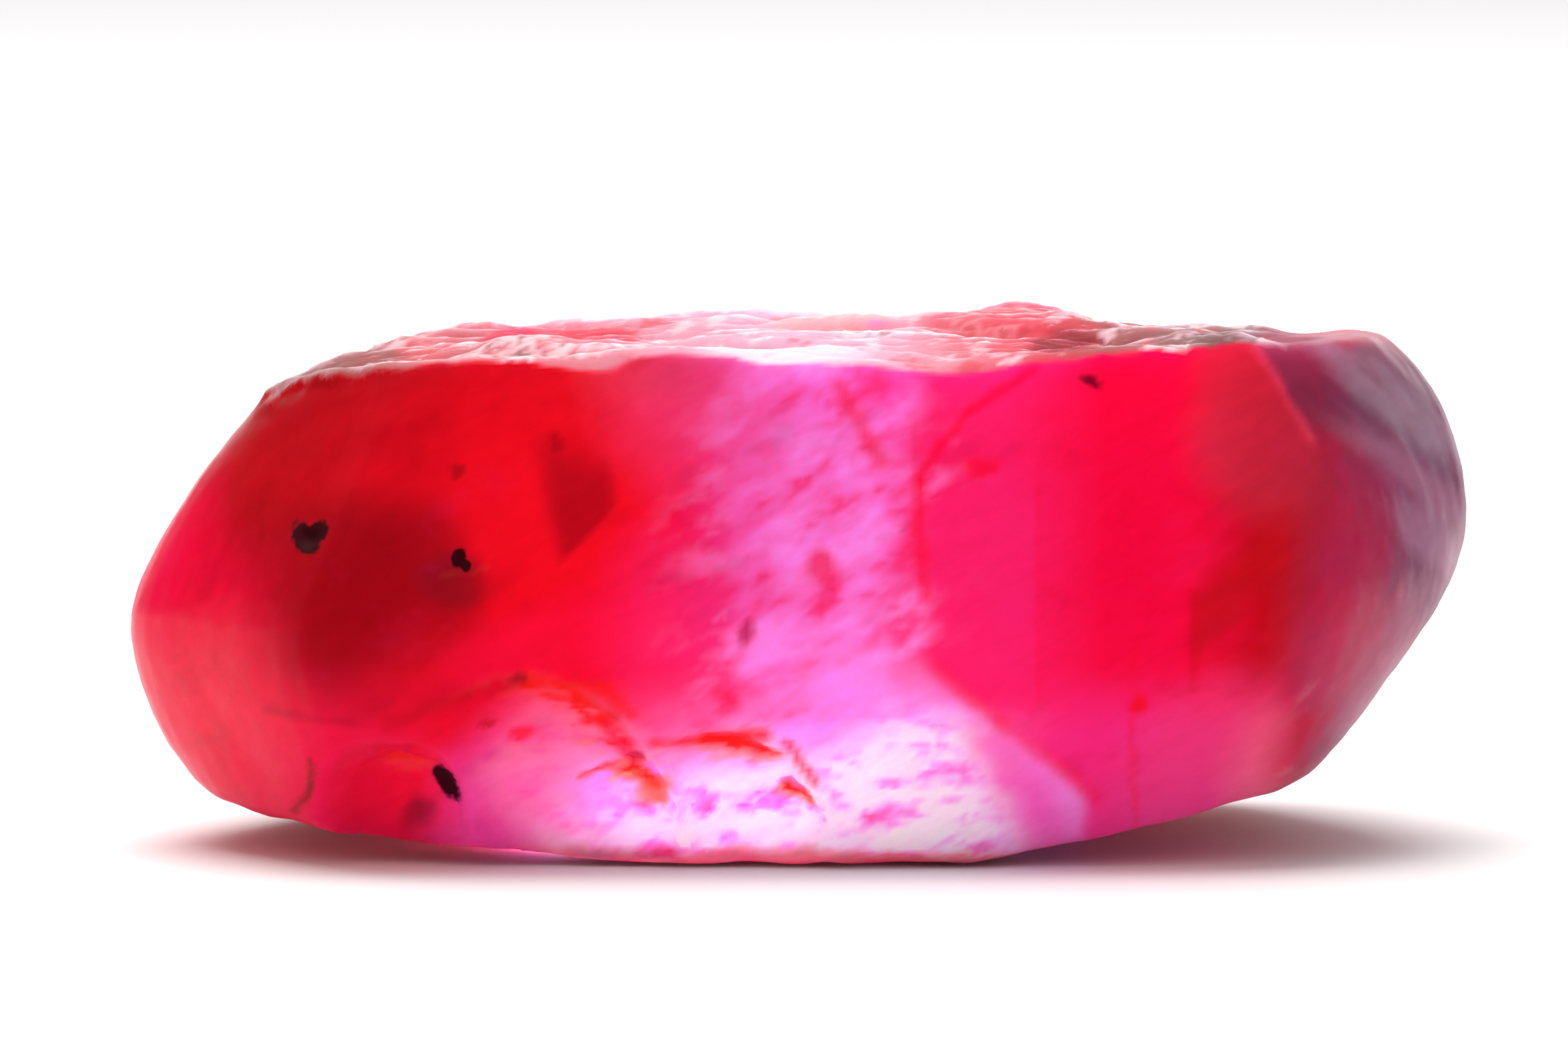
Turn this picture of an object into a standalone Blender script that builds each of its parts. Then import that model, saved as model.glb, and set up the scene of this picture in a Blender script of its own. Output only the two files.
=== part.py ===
"""Raw ruby crystal: one barrel-shaped corundum prism, worn smooth round its sides and broken across
at its top and base. +X runs along the crystal, the broad worn front faces -Y, and it rests on z = 0."""

import math

import bmesh
import bpy
import numpy as np
from mathutils import Vector, noise
from mathutils.bvhtree import BVHTree

MM = 0.001  # everything below is in millimetres, and the finished mesh is scaled by this

# Driving dimensions
HEIGHT = 13.0  # from the rest face to the broken top, at the top's front edge
MIDDLE = HEIGHT / 2  # the level that the side faces are measured from
SHARPNESS = 24.0  # how tightly neighbouring side faces meet; lower is more worn
TOP_WEAR = 0.30  # radius worn on the rim of the broken top
BASE_WEAR = 0.75  # radius worn on the rim of the base

# Mesh layout: segments along the front, across an end, and up the side
ALONG = 36
ACROSS = 24
UP = 16
DENSE = 1440  # directions in which a level's outline is read before it is spaced out
SETTLES = 4  # passes that settle a level's outline between the base and the top

# Side faces: the azimuth of the outward normal (0 is +X, -90 the front), its tilt above the level,
# and the face's distance from the middle of the crystal.
SIDE_FACES = [
    # the six sides of the prism, each split at its waist as on a barrel
    (-93, 19, 8.35),  # front, upper
    (-91, -15, 8.45),  # front, lower
    (-80, 17, 9.05),  # front, right of the parting line
    (-79, -16, 9.35),
    (-38, 12, 14.45),  # right end, front side: the greyed face
    (-33, -24, 14.2),
    (32, 16, 15.0),  # right end, back side
    (34, -22, 14.6),
    (88, 22, 8.3),  # back
    (93, -13, 8.9),
    (148, 34, 12.4),  # left end, back side
    (150, -20, 15.0),
    (-141, 26, 13.5),  # left end, front side
    (-139, -18, 14.5),
    # wear on the two ends
    (180, 47, 13.0),
    (180, 20, 16.8),
    (180, -17, 17.45),
    (180, -50, 13.9),
    (0, 51, 14.4),
    (0, 20, 17.95),
    (0, -17, 16.35),
    (0, -42, 12.75),
]

# The four directions that split each level's outline into front, right end, back and left end
CORNERS = [-146.0, -35.0, 34.0, 147.0]

# Rest face, and how the base rises past it to either end
REST_HALF_LENGTH = 4.2
REST_HALF_DEPTH = 4.2
REST_FADE_LENGTH = 2.0  # distance over which the base turns from flat to rough, along and across
REST_FADE_DEPTH = 1.2
LEFT_RISE = 0.09  # rise for each millimetre past the rest face
RIGHT_RISE = 0.205
BASE_ROUGHNESS = 0.35
BASE_GRAIN_SIZE = 3.0
BASE_SEED = 9.1
FLAT_LIMIT = 1e-6  # what lies lower than this belongs to the rest face

# Broken top: its fall for each millimetre behind its front edge, then (x, y, radius, height) of each
# broad swell or hollow
TOP_FALL = 0.05
TOP_FRONT = -6.3
TOP_SWELLS = [
    (-13.5, -1.5, 4.0, -0.75),
    (2.2, -6.5, 4.6, -0.30),
    (10.5, -4.5, 3.2, 0.28),
    (-1.5, 5.5, 3.4, 0.20),
    (2.9, 5.6, 1.5, -0.22),
    (5.6, 5.2, 2.6, 0.32),
    (-5.0, 0.5, 2.2, -0.35),
    (7.4, -2.6, 1.9, -0.40),
]
# Ledges across the top: (azimuth that the step climbs towards, its distance from the middle, height)
TOP_LEDGES = [
    (62, 2.4, 0.24),
    (118, 3.3, -0.14),
    (-152, 7.6, -0.24),
    (24, 8.2, -0.30),
    (80, -2.9, 0.16),
]
LEDGE_WIDTH = 0.5
LEDGE_WANDER = 1.3  # how far a ledge strays from its straight line
LEDGE_WANDER_SIZE = 4.0
TOP_ROUGHNESS = 0.20
TOP_GRAIN_SIZE = 2.6
TOP_GRAIN_STRETCH = 1.6  # the grain is this much shorter across the crystal than along it
TOP_SEED = 3.7
# The worn shoulder that the broken top stops against at its right end
SHOULDER_START = 11.6
SHOULDER_WIDTH = 1.3
SHOULDER_SLANT = 0.12
SHOULDER_RISE = 0.22

# Chips: (x, y, z, radius) of the ball that each shell-shaped break fits
CHIPS = [
    (-6.6, -15.2, -1.1, 8.75),  # along the front of the base
    (-1.8, -11.5, 0.3, 4.6),
    (-4.4, -9.7, 0.3, 2.95),
    (-0.3, -9.0, 0.5, 1.95),
    (-10.4, -9.0, 0.6, 2.95),
    (6.6, -8.9, 14.4, 2.6),  # the broken top's front edge
    (-11.6, -7.6, 13.9, 2.2),
    (5.2, 13.9, 1.0, 6.9),  # the back: along the base, then the top
    (9.6, 11.1, -0.3, 3.7),
    (-8.2, 11.6, 13.6, 5.2),
    (13.6, 8.2, 11.9, 3.1),
]
CHIP_DETAIL = 4
CHIP_WAVE = 0.05  # how far a break wavers from its ball, as a share of the radius

# Pits in the front left by dark grains: (x, z, radius)
PITS = [
    (-12.26, 8.42, 0.38),
    (-8.50, 7.88, 0.24),
    (-8.86, 2.12, 0.32),
]
PIT_STAND_OFF = 0.12  # how far in front of the surface a pit's ball is centred
PIT_DETAIL = 2

# Broad unevenness of the worn sides, which fades out near the base and the broken top
WALL_SWELL = 0.16
WALL_SWELL_SIZE = 5.0
WALL_FADE_BASE = (0.6, 2.5)
WALL_FADE_TOP = (0.3, 1.6)
END_SHARE = 0.3  # how much of the swell goes lengthways


def smooth_step(low, high, value):
    share = min(max((value - low) / (high - low), 0.0), 1.0)
    return share * share * (3 - 2 * share)


def grain(x, y, z, size, octaves):
    """Fractal noise from about -1 to 1 whose largest features are about size across."""
    return noise.fractal(Vector((x, y, z)) / size, 1.0, 2.1, octaves, noise_basis="PERLIN_ORIGINAL")


def top_relief(x, y):
    """Swells, wandering ledges and a rough grain on the broken part of the top."""
    height = 0.0
    for cx, cy, radius, rise in TOP_SWELLS:
        apart = math.hypot(x - cx, y - cy) / radius
        height += rise * math.exp(-apart * apart)
    for azimuth, distance, rise in TOP_LEDGES:
        turn = math.radians(azimuth)
        along = x * math.cos(turn) + y * math.sin(turn) - distance
        along += LEDGE_WANDER * grain(x, y, distance, LEDGE_WANDER_SIZE, 2)
        height += rise * smooth_step(-LEDGE_WIDTH / 2, LEDGE_WIDTH / 2, along)
    return height + TOP_ROUGHNESS * grain(x, y * TOP_GRAIN_STRETCH, TOP_SEED, TOP_GRAIN_SIZE, 4)


def top_height(x, y):
    """Height of the top: broken as far as the shoulder at its right end, and smooth past it."""
    past = x - SHOULDER_START - SHOULDER_SLANT * (y - TOP_FRONT)
    shoulder = smooth_step(0.0, SHOULDER_WIDTH, past)
    plain = HEIGHT - TOP_FALL * (y - TOP_FRONT)
    return plain + (1 - shoulder) * top_relief(x, y) + shoulder * SHOULDER_RISE


def base_height(x, y):
    """Height of the underside: flat on the rest face, then rough and rising to both ends."""
    left = max(-REST_HALF_LENGTH - x, 0.0)
    right = max(x - REST_HALF_LENGTH, 0.0)
    past_length = (abs(x) - REST_HALF_LENGTH) / REST_FADE_LENGTH
    past_depth = (abs(y) - REST_HALF_DEPTH) / REST_FADE_DEPTH
    rough = abs(grain(x, y, BASE_SEED, BASE_GRAIN_SIZE, 3)) * BASE_ROUGHNESS
    rough *= smooth_step(0.0, 1.0, max(past_length, past_depth))
    return left * LEFT_RISE + right * RIGHT_RISE + rough


def side_reach(azimuths, heights):
    """How far the side lies from the crystal's axis in each direction, at each height."""
    total = np.zeros_like(azimuths)
    for azimuth, tilt, distance in SIDE_FACES:
        turn, lean = math.radians(azimuth), math.radians(tilt)
        face_reach = (distance - math.sin(lean) * (heights - MIDDLE)) / math.cos(lean)
        total += (np.maximum(np.cos(azimuths - turn), 0) / face_reach) ** SHARPNESS
    return total ** (-1 / SHARPNESS)


def worn_inset(depth, radius):
    """How far a rounded rim draws in at this depth from its edge."""
    short = max(radius - depth, 0.0)
    return radius - math.sqrt(radius * radius - short * short)


def level_shares():
    """Levels up the side as (share of the height, distance from the base, distance from the top)."""
    close = [0.0, 0.13, 0.45]
    wall = [step / UP for step in range(1, UP)]
    low = [share * BASE_WEAR / HEIGHT for share in close]
    high = [1 - share * TOP_WEAR / HEIGHT for share in reversed(close)]
    return [(share, share * HEIGHT, (1 - share) * HEIGHT) for share in low + wall + high]


def level_outline(share, above_base, below_top):
    """One level's outline as points spaced evenly along each of its four stretches."""
    start = math.radians(CORNERS[0])
    azimuths = start + np.arange(DENSE + 1) * 2 * math.pi / DENSE
    heights = np.full(DENSE + 1, share * HEIGHT)
    inset = worn_inset(above_base, BASE_WEAR) + worn_inset(below_top, TOP_WEAR)
    for _ in range(SETTLES):
        reach = side_reach(azimuths, heights) - inset
        xs, ys = reach * np.cos(azimuths), reach * np.sin(azimuths)
        low = np.array([base_height(x, y) for x, y in zip(xs, ys)])
        high = np.array([top_height(x, y) for x, y in zip(xs, ys)])
        heights = low + share * (high - low)
    walked = np.concatenate([[0.0], np.cumsum(np.hypot(np.diff(xs), np.diff(ys)))])
    turns = [math.radians(corner) for corner in CORNERS] + [start + 2 * math.pi]
    marks = np.interp(turns, azimuths, walked)
    stretches = zip(marks, marks[1:], [ALONG, ACROSS, ALONG, ACROSS])
    stops = np.concatenate([np.linspace(*stretch, endpoint=False) for stretch in stretches])
    return np.stack([np.interp(stops, walked, values) for values in (xs, ys, heights)], axis=1)


def cap_points(outline, height_at):
    """A grid of points across a level's outline, as (ALONG + 1) columns of (ACROSS + 1) points."""
    front = outline[: ALONG + 1]
    right = outline[ALONG : ALONG + ACROSS + 1]
    back = outline[ALONG + ACROSS : 2 * ALONG + ACROSS + 1][::-1]
    left = np.concatenate([outline[2 * ALONG + ACROSS :], outline[:1]])[::-1]
    grid = np.zeros((ALONG + 1, ACROSS + 1, 3))
    for i in range(ALONG + 1):
        u = i / ALONG
        for j in range(ACROSS + 1):
            v = j / ACROSS
            corners = (
                (1 - u) * (1 - v) * front[0]
                + u * (1 - v) * front[-1]
                + (1 - u) * v * back[0]
                + u * v * back[-1]
            )
            point = (1 - v) * front[i] + v * back[i] + (1 - u) * left[j] + u * right[j] - corners
            grid[i, j] = (point[0], point[1], height_at(point[0], point[1]))
    return grid


def add_wall(mesh, rings):
    rows = [[mesh.verts.new(point) for point in ring] for ring in rings]
    count = len(rows[0])
    for lower, upper in zip(rows, rows[1:]):
        for i in range(count):
            after = (i + 1) % count
            mesh.faces.new((lower[i], lower[after], upper[after], upper[i]))
    return rows[0], rows[-1]


def add_cap(mesh, rim, outline, height_at, faces_up):
    """Closes the wall's rim with a grid that shares the rim's vertices."""
    grid = cap_points(outline, height_at)
    count = len(rim)
    verts = {}
    for i in range(ALONG + 1):
        verts[i, 0] = rim[i]
        verts[i, ACROSS] = rim[2 * ALONG + ACROSS - i]
    for j in range(ACROSS + 1):
        verts[ALONG, j] = rim[ALONG + j]
        verts[0, j] = rim[(count - j) % count]
    for i in range(1, ALONG):
        for j in range(1, ACROSS):
            verts[i, j] = mesh.verts.new(grid[i, j])
    for i in range(ALONG):
        for j in range(ACROSS):
            face = (verts[i, j], verts[i + 1, j], verts[i + 1, j + 1], verts[i, j + 1])
            mesh.faces.new(face if faces_up else face[::-1])


def swell_wall(mesh):
    """Moves the side in and out a little, but not the base or the broken top."""
    for vert in mesh.verts:
        x, y, z = vert.co
        share = smooth_step(*WALL_FADE_BASE, z) * smooth_step(*WALL_FADE_TOP, top_height(x, y) - z)
        outward = Vector((x * END_SHARE, y, 0)).normalized()
        vert.co += outward * (share * WALL_SWELL * grain(x, y, z, WALL_SWELL_SIZE, 2))


def join_rest_face(mesh):
    """Makes the flat middle of the base one face."""
    flat = [face for face in mesh.faces if max(vert.co.z for vert in face.verts) < FLAT_LIMIT]
    bmesh.ops.dissolve_faces(mesh, faces=flat, use_verts=True)


def stand_on_origin(mesh):
    """Moves the crystal sideways until its box is centred over the origin."""
    xs = [vert.co.x for vert in mesh.verts]
    ys = [vert.co.y for vert in mesh.verts]
    middle = Vector((min(xs) + max(xs), min(ys) + max(ys), 0)) / 2
    bmesh.ops.translate(mesh, vec=-middle, verts=mesh.verts)


def pit_places(mesh):
    """The centre and radius of each pit's ball, found on the front surface."""
    surface = BVHTree.FromBMesh(mesh)
    places = []
    for x, z, radius in PITS:
        point, normal, _, _ = surface.ray_cast(Vector((x, -2 * HEIGHT, z)), Vector((0, 1, 0)))
        places.append((point + normal * PIT_STAND_OFF, radius))
    return places


def link(name, mesh):
    data = bpy.data.meshes.new(name)
    mesh.to_mesh(data)
    mesh.free()
    made = bpy.data.objects.new(name, data)
    bpy.context.scene.collection.objects.link(made)
    return made


def cut_ball(body, name, centre, radius, detail):
    """Takes a slightly uneven ball out of body with a live Boolean."""
    mesh = bmesh.new()
    bmesh.ops.create_icosphere(mesh, subdivisions=detail, radius=radius)
    bmesh.ops.translate(mesh, vec=Vector(centre), verts=mesh.verts)
    for vert in mesh.verts:
        vert.co += vert.normal * (radius * CHIP_WAVE * grain(*vert.co, radius / 2, 2))
    bmesh.ops.scale(mesh, vec=(MM, MM, MM), verts=mesh.verts)
    ball = link(name, mesh)
    ball.hide_render = True
    ball.display_type = "WIRE"
    cut = body.modifiers.new(name, "BOOLEAN")
    cut.operation = "DIFFERENCE"
    cut.object = ball


def ruby_material():
    made = bpy.data.materials.new("ruby")
    made.use_nodes = True
    shader = made.node_tree.nodes["Principled BSDF"]
    shader.inputs["Base Color"].default_value = (0.78, 0.01, 0.08, 1)
    shader.inputs["Roughness"].default_value = 0.28
    shader.inputs["Metallic"].default_value = 0.0
    shader.inputs["IOR"].default_value = 1.77
    return made


def build_crystal():
    rings = [level_outline(*level) for level in level_shares()]
    mesh = bmesh.new()
    base_rim, top_rim = add_wall(mesh, rings)
    add_cap(mesh, base_rim, rings[0], base_height, faces_up=False)
    add_cap(mesh, top_rim, rings[-1], top_height, faces_up=True)
    swell_wall(mesh)
    join_rest_face(mesh)
    stand_on_origin(mesh)
    bmesh.ops.recalc_face_normals(mesh, faces=mesh.faces)
    pits = pit_places(mesh)
    bmesh.ops.scale(mesh, vec=(MM, MM, MM), verts=mesh.verts)
    crystal = link("ruby_crystal", mesh)
    crystal.data.materials.append(ruby_material())
    for number, (x, y, z, radius) in enumerate(CHIPS, 1):
        cut_ball(crystal, f"chip_{number}", (x, y, z), radius, CHIP_DETAIL)
    for number, (centre, radius) in enumerate(pits, 1):
        cut_ball(crystal, f"pit_{number}", centre, radius, PIT_DETAIL)
    return crystal


for old in list(bpy.data.objects):
    bpy.data.objects.remove(old)
build_crystal()
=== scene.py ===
# Raw ruby crystal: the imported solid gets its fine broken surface, its colour zones and a bright studio.
# +X runs along the crystal to its greyed end, the broad worn front faces -Y, and it rests on z = 0.
# Sizes are in millimetres unless a note says otherwise; mm turns them into Blender's metres.
import math
from functools import partial

import bmesh
import bpy
from mathutils import Euler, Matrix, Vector


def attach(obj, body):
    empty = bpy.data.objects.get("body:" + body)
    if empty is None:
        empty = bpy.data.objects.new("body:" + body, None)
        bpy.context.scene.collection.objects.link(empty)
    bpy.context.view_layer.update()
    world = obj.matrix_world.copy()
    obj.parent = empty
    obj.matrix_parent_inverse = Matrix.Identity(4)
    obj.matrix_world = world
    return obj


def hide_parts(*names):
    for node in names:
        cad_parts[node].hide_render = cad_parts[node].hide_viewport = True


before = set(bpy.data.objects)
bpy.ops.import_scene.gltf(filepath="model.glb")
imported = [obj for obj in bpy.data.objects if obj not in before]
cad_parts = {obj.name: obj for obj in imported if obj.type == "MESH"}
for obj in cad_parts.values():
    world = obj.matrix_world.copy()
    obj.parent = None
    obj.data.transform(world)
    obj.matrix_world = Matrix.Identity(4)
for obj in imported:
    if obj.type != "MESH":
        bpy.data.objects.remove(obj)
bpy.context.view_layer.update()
mm = 0.001


def toLinear(hexColour):
    # sRGB hex to the linear colour that shaders work in
    channels = [int(hexColour[i : i + 2], 16) / 255 for i in (1, 3, 5)]
    return [c / 12.92 if c <= 0.04045 else ((c + 0.055) / 1.055) ** 2.4 for c in channels] + [1]


def addNode(tree, kind, *inputs, links=None, **settings):
    # one node: inputs fill its sockets in order and links fill them by name or number; each is a plain
    # value, a socket, or a node, whose first output in use is taken
    node = tree.nodes.new(kind)
    for name, value in settings.items():
        setattr(node, name, value)
    for name, value in [*enumerate(inputs), *(links or {}).items()]:
        socket = node.inputs[name]
        if isinstance(value, bpy.types.Node):
            value = next(output for output in value.outputs if output.enabled)
        if isinstance(value, bpy.types.NodeSocket):
            tree.links.new(value, socket)
        else:
            socket.default_value = value
    return node


def lumps(add, place, size, detail=3.0, turn=(0, 0, 0), squeeze=(1, 1, 1), seed=0.0):
    # fractal noise from 0 to 1 whose lumps are size across; squeeze below 1 draws them out
    turned = add("ShaderNodeVectorRotate", links={"Vector": place, "Rotation": turn},
                 rotation_type="EULER_XYZ")
    squeezed = add("ShaderNodeVectorMath", turned, squeeze, operation="MULTIPLY")
    scale = add("ShaderNodeMath", 1.0, size, operation="DIVIDE")
    return add("ShaderNodeTexNoise", noise_dimensions="4D", links={
        "Vector": squeezed, "W": seed, "Scale": scale, "Detail": detail, "Roughness": 0.6}).outputs["Fac"]


def linkToScene(thing):
    bpy.context.scene.collection.objects.link(thing)
    return thing


def applyModifiers(thing):
    # a plain mesh takes the place of the object's mesh and modifiers
    applied = bpy.data.meshes.new_from_object(thing.evaluated_get(bpy.context.evaluated_depsgraph_get()))
    thing.modifiers.clear()
    thing.data = applied


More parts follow.
